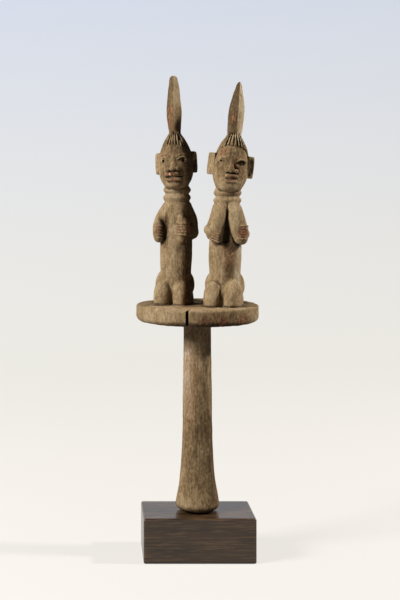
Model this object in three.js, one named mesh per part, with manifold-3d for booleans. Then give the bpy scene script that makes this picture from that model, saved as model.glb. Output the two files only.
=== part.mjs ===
// Dance staff: two kneeling figures with tall blade crests on a thick disc and a round handle, carved
// from one billet of wood and fixed upright on a dark display block.
// Millimetres, +Z up, the figures facing -Y, the origin under the middle of the block.
import * as THREE from 'three';
import { mergeVertices } from 'three/addons/utils/BufferGeometryUtils.js';
import Module from 'manifold-3d';

const wasm = await Module();
wasm.setup();

// Display block
const blockWidth = 101.3;
const blockDepth = 58;
const blockHeight = 40.7;
const blockEdge = 1.4;
const blockEdgeSteps = 3;

// Handle and disc, all on the staff's axis
const restGap = 0.3;
const handleBottom = blockHeight + restGap;
const discBottom = 215;
const discTop = 230;
const discRadius = 56;
const discTopEdge = 2;
const discLowerEdge = 5;
const handleSides = 20;
const discSides = 40;
const lowerEdgeSteps = 4;
const topEdgeSteps = 2;

// Drying crack that opens the rim at the front: where it is, its width at the rim, how far in it runs
const crackAngle = -14.5;
const crackWidth = 1.7;
const crackLength = 27;
const crackMargin = 4;

// Radius of the handle at heights above the block's underside, from the foot up
const handleProfile = [
  [handleBottom, 8.5],
  [handleBottom + 0.5, 13],
  [handleBottom + 2, 17.2],
  [handleBottom + 4.2, 19.4],
  [handleBottom + 6.5, 19.8],
  [handleBottom + 11, 19.2],
  [63.3, 17.1],
  [77, 15.5],
  [95.6, 14.3],
  [114, 13.7],
  [160, 13.2],
  [192, 12.6],
  [discBottom + 1, 12.5],
];

// The neck's pivot, above the disc: a head tips and turns about this point
const neckHeight = 100;

// How square a section is: 2 is an ellipse, more is squarer, less comes to a ridge at the middle
const roundPower = 2;
const bodyPower = 2.2;
const headPower = 2.15;
const legPower = 2.5;
const crestPower = 1.4;

// Sides and rings of the forms
const bodySides = 16;
const crestSides = 8;
const breastFacets = [8, 6];
const armFacets = [7, 5];
const footFacets = [6, 6];
const lumpFacets = [7, 4];
const eyeFacets = [8, 4];
const legFacets = [10, 6];
const hipFacets = [8, 5];

// Torso and ringed neck: height above the disc, half width, front, back
const bodySections = [
  [8, 11, -8, 11],
  [20, 13.6, -13.2, 13],
  [32, 14.2, -13.6, 12.6],
  [46, 14.8, -12.8, 12.2],
  [62, 14.7, -12, 12.6],
  [76, 14.2, -11.8, 13],
  [86, 13.6, -11.4, 12.2],
  [91, 12.9, -10.8, 11.4],
  [94, 11.2, -9.6, 10.4],
  [97.8, 12.6, -10.8, 11.6],
  [101.4, 10.9, -9.2, 10],
  [105, 12.5, -10.4, 11.2],
  [108.5, 11.1, -8.8, 10.2],
  [114, 9, -6, 9],
];

// Head from the chin up: height above the disc, half width, front, back
const headSections = [
  [105.4, 5.5, -11, 7],
  [107.4, 9.4, -14.8, 9.8],
  [111.5, 12.5, -16.6, 11.4],
  [115, 14.2, -17.2, 13],
  [119.5, 15.5, -17.3, 14.8],
  [125, 15.9, -16.9, 16.6],
  [131, 15.4, -16.5, 18],
  [137, 14.4, -16.3, 18.4],
  [142, 12.9, -15.6, 17.6],
  [147, 11, -13.8, 16],
  [151, 8.9, -11.4, 14],
  [155, 6.4, -8.4, 11.6],
  [158.5, 4.4, -4.8, 8.8],
];

// Hair: the hairline's height at the front, sides and nape, and the ridges combed up to the crest
const hairlineFront = 146;
const hairlineSide = 141;
const hairlineNape = 113;
const hairStep = 0.7;
const hairRidges = 16;
const hairRidgeDepth = 0.5;
const hairRidgeFade = 6;
const hairlineRing = 6;
const headRings = 10;

// How the hairline rounds off towards the front and the nape, and how the rings below it crowd to the chin
const hairlineFrontPower = 0.7;
const hairlineNapePower = 0.6;
const faceRingPower = 0.9;

// Crest: how much deeper it is than wide, where it stands, and how far its tip bends back
const crestDeepness = 1.3;
const crestPlace = 2.2;
const crestBend = 0.0022;
const crestFoot = 150;

// Slab ears: their size, their slant from the side of the head, how far back and how high they sit
const earThickness = 3.4;
const earDepth = 11;
const earHeight = 20;
const earAngle = 38;
const earSetBack = 2.6;
const earMiddle = 130.6;
const earTaper = 0.2;
const earSteps = 3;

// Face in the head's own frame. Lumps are [x, y, z, half width, half depth, half height] and ridges are
// points with a radius; what has a side is given for the +X side
const eye = [8.4, -13.9, 131.4, 4.4, 3.2, 2.8];
const nostril = [3.1, -17.4, 123.4, 2.6, 2.6, 2.3];
const chin = [0, -14.4, 109.8, 5.6, 3.4, 3];
const brow = [[3, -16.6, 134, 0.9], [8, -15.6, 136.4, 1.3], [13, -11.4, 133.6, 0.9]];
const nose = [[0, -15.4, 136, 1.5], [0, -17, 129.5, 2], [0, -18.9, 123.4, 3.1]];
const upperLip = [[-7.2, -14.6, 118.6, 1.1], [-3.4, -17.6, 119.6, 1.8], [0, -18.2, 119, 1.9],
  [3.4, -17.6, 119.6, 1.8], [7.2, -14.6, 118.6, 1.1]];
const lowerLip = [[-6.2, -15, 115.4, 1], [-3, -17.4, 114.6, 1.7], [3, -17.4, 114.6, 1.7],
  [6.2, -15, 115.4, 1]];
const browFacets = [5, 5];
const noseFacets = [6, 5];
const lipFacets = [6, 7];

// Closed hand: half sizes of the palm, and the points of its middle finger from the palm's middle, each
// with a radius
const palm = [5.2, 4.4, 6.6];
const palmFacets = [7, 5];
const palmShift = 0.6;
const finger = [[-4.4, -1.6, 0, 1.4], [0, -3.9, 0, 1.45], [4.8, -2.4, -0.5, 1.3]];
const fingerFacets = [5, 4];
const fingerPitch = 2.7;

// Folded legs: the heel's distance behind the middle, and one side's thigh loaf, hip and foot
const heel = 16;
const loaf = { x: 8, z: 5.5, halfWidth: 9, halfHeight: 18.5 };
const hip = [8, 6, 17, 9.8, 13, 13.5];
const foot = [[8.6, 8, 4.6, 5.6], [8.4, 19, 4.6, 4.8], [8, 30.5, 5.4, 5.4]];

// The figures. Each stands at x, y; its neck leans and sinks by a little, its legs, chest and head turn
// each by its own angle, and its sizes are heights above the disc and distances from its own middle
const figures = [
  {
    // the figure on the viewer's left, its fists held up before the chest
    x: -19.4, y: 7, lean: 1.3, drop: 0, legShift: -1.7, kneeReach: 19, earPlace: 14.8,
    legTurn: -14, chestTurn: -14, headTurn: -10, headRoll: -2.3,
    crest: [[150, 4.6], [158, 5.2], [165, 6.1], [174.5, 6.85], [184, 6.3], [193, 5.5], [202.4, 4.3],
      [208.6, 3.1], [211.2, 1.2]],
    arms: [
      [[-8.5, 2, 90, 5], [-13.2, 3.2, 78, 6.2], [-15, 3, 63.5, 6.2]],
      [[-15, 5, 66.5, 6], [-15, -4, 66.5, 5.8], [-13, -15, 69.5, 5]],
      [[8.5, 2, 90, 5], [12.4, 3.2, 78, 6], [14, 3, 63.5, 6]],
      [[14, 5, 66.5, 5.8], [12.6, -4, 66.5, 5.6], [8.8, -15, 70.5, 5]],
    ],
    hands: [
      { x: -12.6, y: -14, z: 69.5, side: 1, fingers: 4 },
      { x: 8.2, y: -14.5, z: 71.5, side: -1, fingers: 4 },
    ],
    lumps: [[-12.4, -13, 61.6, 3.4], [8.6, -13, 62, 3.6]],
    breasts: [],
  },
  {
    // the figure on the viewer's right, holding her long breasts
    x: 24.3, y: -7, lean: 2.7, drop: 2.6, legShift: -0.5, kneeReach: 25, earPlace: 16,
    legTurn: -13, chestTurn: 0, headTurn: -6, headRoll: 6,
    crest: [[152, 5.4], [159, 6.1], [167, 6.85], [176, 7.05], [185.3, 6.5], [194.5, 4.7],
      [201, 3.1], [206, 1.8], [207.4, 0.8]],
    arms: [
      [[-8, 3, 91, 5], [-10.2, 4, 79, 5.2], [-11.6, 2, 65, 5.4]],
      [[-12, 4, 67.5, 5.2], [-14.4, -5, 67, 5.1], [-13.6, -14, 67.5, 4.8]],
      [[8, 3, 91, 5], [12, 4, 79, 5.6], [14.6, 2, 63, 5.8]],
      [[14.6, 4, 65, 5.6], [16.4, -5, 64, 5.5], [15, -14, 64, 5]],
    ],
    hands: [
      { x: -12, y: -14.8, z: 67.5, side: 1, fingers: 4 },
      { x: 14.2, y: -15, z: 64.5, side: -1, fingers: 5 },
    ],
    lumps: [],
    breasts: [
      [[-5, -7.5, 94, 4.2], [-6.6, -11.5, 80, 5.8], [-7.8, -13.6, 69, 6.4], [-8, -13.4, 57, 6]],
      [[4.8, -7.5, 94, 4.2], [7, -11.5, 80, 5.8], [9, -13.8, 69, 6.5], [11.4, -13.6, 56, 6.2]],
    ],
  },
];

const degree = Math.PI / 180;
const cornerGrid = 0.002;
const poleSwell = 1.6;

// Direction that a limb's sections are laid out from: nearly upright, and never along a limb
const sectionReference = [0.13, 0.29, 0.95];

function mix(a, b, part) {
  return a + (b - a) * part;
}

// Smooth curve through the rows of a table: the first column is the place, the result is one column's value
function readTable(rows, place, column) {
  let i = 0;
  while (i < rows.length - 2 && place > rows[i + 1][0]) i += 1;
  const slope = (a, b) => (rows[b][column] - rows[a][column]) / (rows[b][0] - rows[a][0]);
  const span = rows[i + 1][0] - rows[i][0];
  const part = Math.min(1, Math.max(0, (place - rows[i][0]) / span));
  const startSlope = i > 0 ? slope(i - 1, i + 1) : slope(i, i + 1);
  const endSlope = i < rows.length - 2 ? slope(i, i + 2) : slope(i, i + 1);
  const rise = part * part * (3 - 2 * part);
  const early = part * (1 - part) * (1 - part) * span * startSlope;
  const late = part * part * (1 - part) * span * endSlope;
  return mix(rows[i][column], rows[i + 1][column], rise) + early - late;
}

// Gives every point of a geometry its new place, and keeps only the merged positions
function reshape(geometry, place) {
  const positions = geometry.attributes.position;
  const point = new THREE.Vector3();
  for (let i = 0; i < positions.count; i += 1) {
    point.fromBufferAttribute(positions, i);
    place(point);
    positions.setXYZ(i, point.x, point.y, point.z);
  }
  return geometry;
}

// One side of a rounded section: a full circle's cosine or sine, squared off by the power
function rounded(value, power) {
  return Math.sign(value) * Math.abs(value) ** (2 / power);
}

// Upright form through sections, each with a height, a half width, a front and a back
function loft(sections, sides, power) {
  const steps = sections.length - 1;
  return reshape(new THREE.CylinderGeometry(1, 1, 1, sides, steps), (point) => {
    const [z, width, front, back] = sections[Math.round((point.y + 0.5) * steps)];
    const depth = point.z > 0 ? -front : back;
    point.set(rounded(point.x, power) * width, -rounded(point.z, power) * depth, z);
  });
}

// Round-ended limb along a smooth curve through points that each have their own radius
function limb(points, [sides, steps]) {
  const path = new THREE.CatmullRomCurve3(points.map(([x, y, z]) => new THREE.Vector3(x, y, z)));
  const radii = points.map((point, i) => [i / (points.length - 1), point[3]]);
  const length = path.getLength();
  const reference = new THREE.Vector3(...sectionReference);
  return reshape(new THREE.SphereGeometry(1, sides, steps), (point) => {
    const place = Math.acos(THREE.MathUtils.clamp(point.y, -1, 1)) / Math.PI;
    const radius = readTable(radii, place, 1);
    const fromEnd = Math.min(place, 1 - place) * length;
    const ending = fromEnd < radius ? Math.sqrt(Math.max(0, 1 - (1 - fromEnd / radius) ** 2)) : 1;
    const tangent = path.getTangent(place);
    const across = new THREE.Vector3().crossVectors(tangent, reference).normalize();
    const upward = new THREE.Vector3().crossVectors(tangent, across);
    const turn = Math.atan2(point.z, point.x);
    const reach = Math.hypot(point.x, point.z) < 1e-6 ? 0 : radius * ending;
    point.copy(path.getPoint(place));
    point.addScaledVector(across, Math.cos(turn) * reach);
    point.addScaledVector(upward, Math.sin(turn) * reach);
  });
}

// Rounded lump, squarer where the power is above 2
function lump([x, y, z, width, depth, height], [sides, rings], power = roundPower) {
  const form = reshape(new THREE.SphereGeometry(1, sides, rings), (point) => {
    const flat = Math.hypot(point.x, point.z);
    const squash = Math.sqrt(Math.max(0, 1 - Math.abs(point.y) ** power)) / Math.max(flat, 1e-9);
    const swell = power > roundPower ? Math.min(squash, poleSwell) : 1;
    point.set(point.x * swell * width, -point.z * swell * depth, point.y * height);
  });
  return form.translate(x, y, z);
}

// Head: sections from the chin up, its rings bent to the hairline so that the hair stands proud of the
// face and runs up in ridges to the crest
function head() {
  const bottom = headSections[0][0];
  const top = headSections[headSections.length - 1][0];
  const hairStart = hairlineRing / headRings;
  return reshape(new THREE.CylinderGeometry(1, 1, 1, hairRidges * 2, headRings), (point) => {
    const rise = point.y + 0.5;
    const angle = Math.atan2(point.x, point.z);
    const facing = Math.cos(angle);
    const hairline = facing > 0
      ? mix(hairlineSide, hairlineFront, facing ** hairlineFrontPower)
      : mix(hairlineSide, hairlineNape, (-facing) ** hairlineNapePower);
    const inHair = rise > hairStart + 1e-6;
    const z = inHair
      ? mix(hairline, top, (rise - hairStart) / (1 - hairStart))
      : mix(bottom, hairline, (rise / hairStart) ** faceRingPower);
    const width = readTable(headSections, z, 1);
    const depth = point.z > 0 ? -readTable(headSections, z, 2) : readTable(headSections, z, 3);
    const ridge = Math.cos(angle * hairRidges) * hairRidgeDepth;
    const proud = inHair ? hairStep + ridge * Math.min(1, (top - z) / hairRidgeFade) : 0;
    const x = rounded(point.x, headPower) * (width + proud);
    point.set(x, -rounded(point.z, headPower) * (depth + proud), z);
  });
}

// Crest: a blade with a sharp ridge before and behind, bending back as it rises
function crest(widths) {
  const steps = widths.length - 1;
  return reshape(new THREE.CylinderGeometry(1, 1, 1, crestSides, steps), (point) => {
    const [z, width] = widths[Math.round((point.y + 0.5) * steps)];
    const back = crestPlace + crestBend * (z - crestFoot) ** 2;
    const front = rounded(point.z, crestPower) * width * crestDeepness;
    point.set(rounded(point.x, crestPower) * width, back - front, z);
  });
}

// Slab ears, standing out from the sides of the head
function ears(earPlace) {
  return [-1, 1].map((side) => {
    const slab = new THREE.BoxGeometry(earThickness, earDepth, earHeight, 1, 1, earSteps);
    reshape(slab, (point) => {
      point.y *= 1 - earTaper * Math.abs(2 * point.z / earHeight) ** 3;
    });
    return slab.rotateZ(side * earAngle * degree).translate(side * earPlace, earSetBack, earMiddle);
  });
}

// A point or a form's sizes, its place moved over to the other side where side is -1
function onSide(side, values) {
  return [side * values[0], ...values.slice(1)];
}

// Face: brows over bulging eyes, a broad nose and full parted lips
function face() {
  const forms = [limb(nose, noseFacets), limb(upperLip, lipFacets), limb(lowerLip, lipFacets)];
  forms.push(lump(chin, eyeFacets));
  for (const side of [-1, 1]) {
    forms.push(lump(onSide(side, eye), eyeFacets));
    forms.push(lump(onSide(side, nostril), lumpFacets));
    forms.push(limb(brow.map((point) => onSide(side, point)), browFacets));
  }
  return forms;
}

// Closed hand with its fingers laid across it, one above the other
function hand({ x, y, z, side, fingers }) {
  const forms = [lump([x - side * palmShift, y + palmShift, z, ...palm], palmFacets)];
  for (let i = 0; i < fingers; i += 1) {
    const height = z + ((fingers - 1) / 2 - i) * fingerPitch;
    const place = ([along, out, up, radius]) => [x + side * along, y + out, height + up, radius];
    forms.push(limb(finger.map(place), fingerFacets));
  }
  return forms;
}

// Folded legs: each thigh and shin laid together as one loaf from knee to heel, a hip above it and a foot
// behind
function legs(kneeReach) {
  const forms = [];
  const middle = (heel - kneeReach) / 2;
  const halfDepth = (heel + kneeReach) / 2;
  for (const side of [-1, 1]) {
    const thigh = [side * loaf.x, middle, loaf.z, loaf.halfWidth, halfDepth, loaf.halfHeight];
    forms.push(lump(thigh, legFacets, legPower));
    forms.push(lump(onSide(side, hip), hipFacets));
    forms.push(limb(foot.map((point) => onSide(side, point)), footFacets));
  }
  return forms;
}

// Drops triangles that have fallen together to a line, and pairs that lie back to back
function withoutSlivers(geometry) {
  const index = geometry.index.array;
  const kept = new Map();
  for (let i = 0; i < index.length; i += 3) {
    const corners = [index[i], index[i + 1], index[i + 2]];
    const [a, b, c] = corners;
    if (a === b || b === c || c === a) continue;
    const key = [...corners].sort((m, n) => m - n).join(',');
    if (kept.has(key)) kept.delete(key);
    else kept.set(key, corners);
  }
  geometry.setIndex([...kept.values()].flat());
  return geometry;
}

function solidOf(geometry) {
  geometry.deleteAttribute('normal');
  geometry.deleteAttribute('uv');
  const merged = withoutSlivers(mergeVertices(geometry, cornerGrid / 10));
  return new wasm.Manifold(new wasm.Mesh({
    numProp: 3,
    vertProperties: new Float32Array(merged.attributes.position.array),
    triVerts: new Uint32Array(merged.index.array),
  }));
}

function joined(geometries) {
  return geometries.map(solidOf).reduce((whole, solid) => whole.add(solid));
}

// One kneeling figure, made upright over its own place and turned part by part
function figure(spec) {
  const settle = (geometry) => reshape(geometry, (point) => {
    const share = Math.min(1, point.z / neckHeight) ** 2;
    point.x += spec.lean * share;
    point.z -= spec.drop * share;
  });
  const place = (geometry, turn) => geometry.rotateZ(turn * degree).translate(spec.x, spec.y, discTop);
  const lower = legs(spec.kneeReach).map((form) => place(form.translate(spec.legShift, 0, 0), spec.legTurn));
  const chest = [loft(bodySections, bodySides, bodyPower)];
  chest.push(...spec.arms.map((points) => limb(points, armFacets)));
  chest.push(...spec.hands.flatMap(hand));
  chest.push(...spec.breasts.map((points) => limb(points, breastFacets)));
  chest.push(...spec.lumps.map(([x, y, z, radius]) => lump([x, y, z, radius, radius, radius], lumpFacets)));
  const upper = chest.map((form) => place(settle(form), spec.chestTurn));
  const top = [head(), crest(spec.crest), ...ears(spec.earPlace), ...face()].map((form) => {
    form.translate(0, 0, -neckHeight).rotateY(spec.headRoll * degree).rotateZ(spec.headTurn * degree);
    return form.translate(spec.x + spec.lean, spec.y, discTop + neckHeight - spec.drop);
  });
  return joined([...lower, ...upper, ...top]);
}

function handle() {
  const outline = handleProfile.map(([z, radius]) => new THREE.Vector2(radius, z));
  const points = [new THREE.Vector2(0, handleBottom), ...outline, new THREE.Vector2(0, discBottom + 1)];
  return new THREE.LatheGeometry(points, handleSides).rotateX(Math.PI / 2);
}

// Disc with a small upper edge radius and a larger lower one
function disc() {
  const points = [new THREE.Vector2(0, discBottom)];
  for (let i = 0; i <= lowerEdgeSteps; i += 1) {
    const turn = (i / lowerEdgeSteps) * Math.PI / 2;
    points.push(new THREE.Vector2(
      discRadius - discLowerEdge * (1 - Math.sin(turn)),
      discBottom + discLowerEdge * (1 - Math.cos(turn)),
    ));
  }
  for (let i = 0; i <= topEdgeSteps; i += 1) {
    const turn = (i / topEdgeSteps) * Math.PI / 2;
    points.push(new THREE.Vector2(
      discRadius - discTopEdge * (1 - Math.cos(turn)),
      discTop - discTopEdge * (1 - Math.sin(turn)),
    ));
  }
  points.push(new THREE.Vector2(0, discTop));
  return new THREE.LatheGeometry(points, discSides).rotateX(Math.PI / 2);
}

// Wedge of air that opens the disc's rim
function crack() {
  const outer = discRadius + crackMargin;
  const outline = new THREE.Shape([
    new THREE.Vector2(0, -(discRadius - crackLength)),
    new THREE.Vector2(-crackWidth / 2, -outer),
    new THREE.Vector2(crackWidth / 2, -outer),
  ]);
  const depth = discTop - discBottom + 2 * crackMargin;
  const wedge = new THREE.ExtrudeGeometry(outline, { depth, bevelEnabled: false });
  return wedge.translate(0, 0, discBottom - crackMargin).rotateZ(crackAngle * degree);
}

function staff() {
  const solid = joined([handle(), disc()]);
  return figures.map(figure).reduce((all, one) => all.add(one), solid).subtract(solidOf(crack()));
}

// A solid's skin with its corners set to a fine grid, so that no sliver is thinner than the grid
function geometryOf(solid) {
  const { vertProperties, triVerts } = solid.getMesh();
  const corners = Float32Array.from(vertProperties, (value) => Math.round(value / cornerGrid) * cornerGrid);
  const geometry = new THREE.BufferGeometry();
  geometry.setAttribute('position', new THREE.BufferAttribute(corners, 3));
  geometry.setIndex(new THREE.BufferAttribute(new Uint32Array(triVerts), 1));
  return withoutSlivers(mergeVertices(geometry, cornerGrid / 10));
}

// Block with eased edges
function block() {
  const halfWidth = blockWidth / 2 - blockEdge;
  const halfDepth = blockDepth / 2 - blockEdge;
  const outline = new THREE.Shape([
    new THREE.Vector2(-halfWidth, -halfDepth),
    new THREE.Vector2(halfWidth, -halfDepth),
    new THREE.Vector2(halfWidth, halfDepth),
    new THREE.Vector2(-halfWidth, halfDepth),
  ]);
  const easing = { bevelThickness: blockEdge, bevelSize: blockEdge, bevelSegments: blockEdgeSteps };
  return new THREE.ExtrudeGeometry(outline, { depth: blockHeight - 2 * blockEdge, ...easing })
    .translate(0, 0, blockEdge);
}

const carvedWood = new THREE.MeshStandardMaterial({ color: 0x8f8270, roughness: 0.85, metalness: 0 });
const stainedWood = new THREE.MeshStandardMaterial({ color: 0x46382c, roughness: 0.45, metalness: 0 });

function named(name, geometry, material) {
  const mesh = new THREE.Mesh(geometry, material);
  mesh.name = name;
  return mesh;
}

const group = new THREE.Group();
group.add(named('carved_staff', geometryOf(staff()), carvedWood));
group.add(named('base_block', block(), stainedWood));

export default group;
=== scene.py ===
import math

import bpy
import numpy as np
import openvdb
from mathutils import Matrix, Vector


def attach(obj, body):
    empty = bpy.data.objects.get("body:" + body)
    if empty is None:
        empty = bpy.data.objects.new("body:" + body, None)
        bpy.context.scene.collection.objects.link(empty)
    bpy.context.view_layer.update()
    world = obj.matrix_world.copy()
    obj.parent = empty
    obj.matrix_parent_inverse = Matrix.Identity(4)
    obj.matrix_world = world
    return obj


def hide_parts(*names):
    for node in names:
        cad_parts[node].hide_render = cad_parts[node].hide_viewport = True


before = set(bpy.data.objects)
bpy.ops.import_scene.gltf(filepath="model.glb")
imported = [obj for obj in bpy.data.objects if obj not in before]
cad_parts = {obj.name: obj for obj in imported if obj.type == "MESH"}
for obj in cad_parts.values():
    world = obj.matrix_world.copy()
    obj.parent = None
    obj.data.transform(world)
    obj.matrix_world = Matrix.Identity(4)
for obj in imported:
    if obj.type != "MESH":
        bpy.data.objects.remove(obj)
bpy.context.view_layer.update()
print("frame loaded:", sorted(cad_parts))

mm = 0.001
degree = math.pi / 180

# Camera: level, straight on to the block's front and off to its left. The shift frames it as photographed.
cameraView = {
    "place": (-94.2, -1013, 335),  # mm
    "axisPixel": (95, 190),  # where the camera points, in the 400 by 600 frame
    "middlePixel": (200, 300),
    "longSide": 600,
    "focalLength": 1100,  # pixels
    "sensor": 36,
}


# The lens is the sensor's width times the focal length over the long side. The shift is how far the axis
# pixel lies from the middle one, over the long side.
def makeCamera():
    data = bpy.data.cameras.new("camera")
    data.sensor_width = cameraView["sensor"]
    data.lens = cameraView["focalLength"] / cameraView["longSide"] * cameraView["sensor"]
    data.shift_x = (cameraView["middlePixel"][0] - cameraView["axisPixel"][0]) / cameraView["longSide"]
    data.shift_y = (cameraView["axisPixel"][1] - cameraView["middlePixel"][1]) / cameraView["longSide"]
    camera = bpy.data.objects.new("camera", data)
    camera.location = Vector(cameraView["place"]) * mm
    camera.rotation_euler = (math.pi / 2, 0, 0)
    bpy.context.collection.objects.link(camera)
    bpy.context.scene.camera = camera


makeCamera()

# The staff is cut from one billet, so it is worked here as one solid too: a grid of distances to its skin,
# in mm, below zero inside the wood. Forms are joined on and carved away, and the skin is meshed once.
billet = {
    "voxel": 0.42,
    "low": (-57.5, -57.5, 39.5),
    "high": (57.5, 57.5, 442.5),
    "air": 4.0,  # distance noted where nothing is near
    "joinRoom": 2,  # grid kept round a form that is joined on
    "carveRoom": 1,  # and round one that is carved away
    "slopes": (0.4, 6),  # the least and the most that a distance's slope is taken for
    "triangles": 196000,
}
voxel = billet["voxel"]
gridLow = np.array(billet["low"])
gridCount = np.round((np.array(billet["high"]) - gridLow) / voxel).astype(int) + 1
gridAxes = [(gridLow[k] + voxel * np.arange(gridCount[k])).astype(np.float32) for k in range(3)]
wood = np.full(gridCount, billet["air"], np.float32)


# Smooth minimum: the nearer of two distances, rounded off where they are within the blend of each other
def nearer(a, b, blend):
    overlap = np.maximum(blend - np.abs(a - b), 0)
    return np.minimum(a, b) - overlap * overlap / (4 * blend)


# Rises from 0 at one place to 1 at the other, level at both ends
def ease(value, start, end):
    part = np.clip((value - start) / (end - start), 0, 1)
    return part * part * (3 - 2 * part)


# Smooth curve through a table's rows: the first column is the place, the result is another column there
def throughRows(rows, column, places):
    rows = np.asarray(rows, float)
    at = rows[:, 0]
    value = rows[:, column]
    slope = np.gradient(value, at)
    i = np.clip(np.searchsorted(at, places) - 1, 0, len(at) - 2)
    span = at[i + 1] - at[i]
    part = np.clip((places - at[i]) / span, 0, 1)
    rise = part * part * (3 - 2 * part)
    early = part * (1 - part) ** 2 * span * slope[i]
    late = part * part * (1 - part) * span * slope[i + 1]
    return value[i] + (value[i + 1] - value[i]) * rise + early - late


# A frame of its own for each part of a figure: turned about the upright, rolled about its front, set at its
# origin, and leaning and sinking by the square of the height up to the neck
def partFrame(origin, turn=0, roll=0, pivot=0, lean=0, drop=0, shift=0):
    return {"origin": origin, "turn": turn * degree, "roll": roll * degree, "pivot": pivot,
            "lean": lean, "drop": drop, "shift": shift}


neckHeight = 100  # above the disc


# Share of the lean and the drop that a figure has at a height: the square of the height over the neck's
def settling(w):
    return np.clip(w / neckHeight, 0, 1) ** 2


# A part's own places in the staff's frame: leant and sunk, then rolled, turned and moved to its origin
def toWorld(part, points):
    points = np.atleast_2d(np.asarray(points, float))[:, :3]
    share = settling(points[:, 2])
    u = points[:, 0] + part["lean"] * share + part["shift"]
    v = points[:, 1]
    w = points[:, 2] - part["drop"] * share - part["pivot"]
    rolledU = u * math.cos(part["roll"]) + w * math.sin(part["roll"])
    rolledW = w * math.cos(part["roll"]) - u * math.sin(part["roll"])
    x = rolledU * math.cos(part["turn"]) - v * math.sin(part["turn"])
    y = rolledU * math.sin(part["turn"]) + v * math.cos(part["turn"])
    return np.stack([x, y, rolledW], axis=1) + np.array(part["origin"])


# Places of the staff's frame in a part's own: the steps of toWorld undone, the last one first
def toPart(part, x, y, z):
    x = x - part["origin"][0]
    y = y - part["origin"][1]
    z = z - part["origin"][2]
    turnedX = x * math.cos(part["turn"]) + y * math.sin(part["turn"])
    v = y * math.cos(part["turn"]) - x * math.sin(part["turn"])
    u = turnedX * math.cos(part["roll"]) - z * math.sin(part["roll"]) - part["shift"]
    w = turnedX * math.sin(part["roll"]) + z * math.cos(part["roll"]) + part["pivot"]
    if part["drop"] or part["lean"]:
        w = w + part["drop"] * settling(w)
        u = u - part["lean"] * settling(w)
    return u, v, w


billetFrame = partFrame((0, 0, 0))


# The window of the grid that holds some points of a part with room round them
def windowRound(part, corners, reach):
    world = toWorld(part, corners)
    first = np.floor((world.min(axis=0) - reach - gridLow) / voxel).astype(int)
    last = np.ceil((world.max(axis=0) + reach - gridLow) / voxel).astype(int) + 1
    return tuple(slice(a, b) for a, b in zip(np.clip(first, 0, gridCount), np.clip(last, 0, gridCount)))


# The grid's points in a window, in a part's own frame
def windowAxes(part, window):
    x = gridAxes[0][window[0]][:, None, None]
    y = gridAxes[1][window[1]][None, :, None]
    z = gridAxes[2][window[2]][None, None, :]
    return toPart(part, x, y, z)


# Divides a distance by its own slope, so that it grows by one mm for each mm from the skin
def evened(distance):
    slopes = np.gradient(distance, voxel)
    steep = np.sqrt(sum(slope * slope for slope in slopes))
    return distance / np.clip(steep, *billet["slopes"])


# Joins a form on: each grid point keeps the nearer of the wood's skin and the form's
def joinOn(part, form, blend):
    window = windowRound(part, form["corners"], form["reach"] + blend + billet["joinRoom"])
    distance = form["distance"](*windowAxes(part, window)).astype(np.float32)
    wood[window] = nearer(wood[window], distance, blend)


# Carves a form away: the same with the wood and the air changed over, so that the form is joined to the air
def carveAway(part, form, blend):
    window = windowRound(part, form["corners"], form["reach"] + blend + billet["carveRoom"])
    distance = form["distance"](*windowAxes(part, window)).astype(np.float32)
    wood[window] = -nearer(-wood[window], distance, blend)


# Limb: a tube of changing radius with round ends, along a smooth curve through its points [x, y, z, radius].
# Its depth is its width times flat.
def limb(points, steps=5, flat=1):
    points = np.asarray(points, float) * (1, 1 / flat, 1, 1)
    at = np.arange(len(points))
    rows = np.column_stack([at, points])
    fine = np.linspace(0, len(points) - 1, steps * (len(points) - 1) + 1)
    path = np.stack([throughRows(rows, k, fine) for k in range(1, 5)], axis=1)

    def distance(u, v, w):
        v = v / flat
        best = None
        for start, end in zip(path, path[1:]):
            along = end - start
            length = float(along[:3] @ along[:3])
            part = (u - start[0]) * along[0] + (v - start[1]) * along[1] + (w - start[2]) * along[2]
            part = np.clip(part / length, 0, 1)
            off = (u - start[0] - part * along[0]) ** 2
            off = off + (v - start[1] - part * along[1]) ** 2
            off = off + (w - start[2] - part * along[2]) ** 2
            here = np.sqrt(off) - start[3] - part * along[3]
            best = here if best is None else np.minimum(best, here)
        return best

    return {"corners": path[:, :3] * (1, flat, 1), "reach": path[:, 3].max(), "distance": distance}


# Lump: an ellipsoid, turned about its own upright. It is squarer in height where the power is above 2, and
# squarer seen from above where the plan is above 2. The distance is how far a point's size is past 1, over
# the slope of that size.
def lump(place, sizes, turn=0, power=2, plan=2):
    def distance(u, v, w):
        u = u - place[0]
        v = v - place[1]
        w = w - place[2]
        c = math.cos(turn * degree)
        s = math.sin(turn * degree)
        a = (u * c + v * s) / sizes[0]
        b = (v * c - u * s) / sizes[1]
        e = w / sizes[2]
        flat = (np.abs(a) ** plan + np.abs(b) ** plan) ** (2 / plan)
        size = (flat ** (power / 2) + np.abs(e) ** power) ** (1 / power) + 1e-4
        slope = np.sqrt((a / sizes[0]) ** 2 + (b / sizes[1]) ** 2 + (e / sizes[2]) ** 2) + 1e-4
        return (size - 1) * np.sqrt(flat + e * e) / slope

    return {"corners": [place], "reach": max(sizes), "distance": distance}


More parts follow.
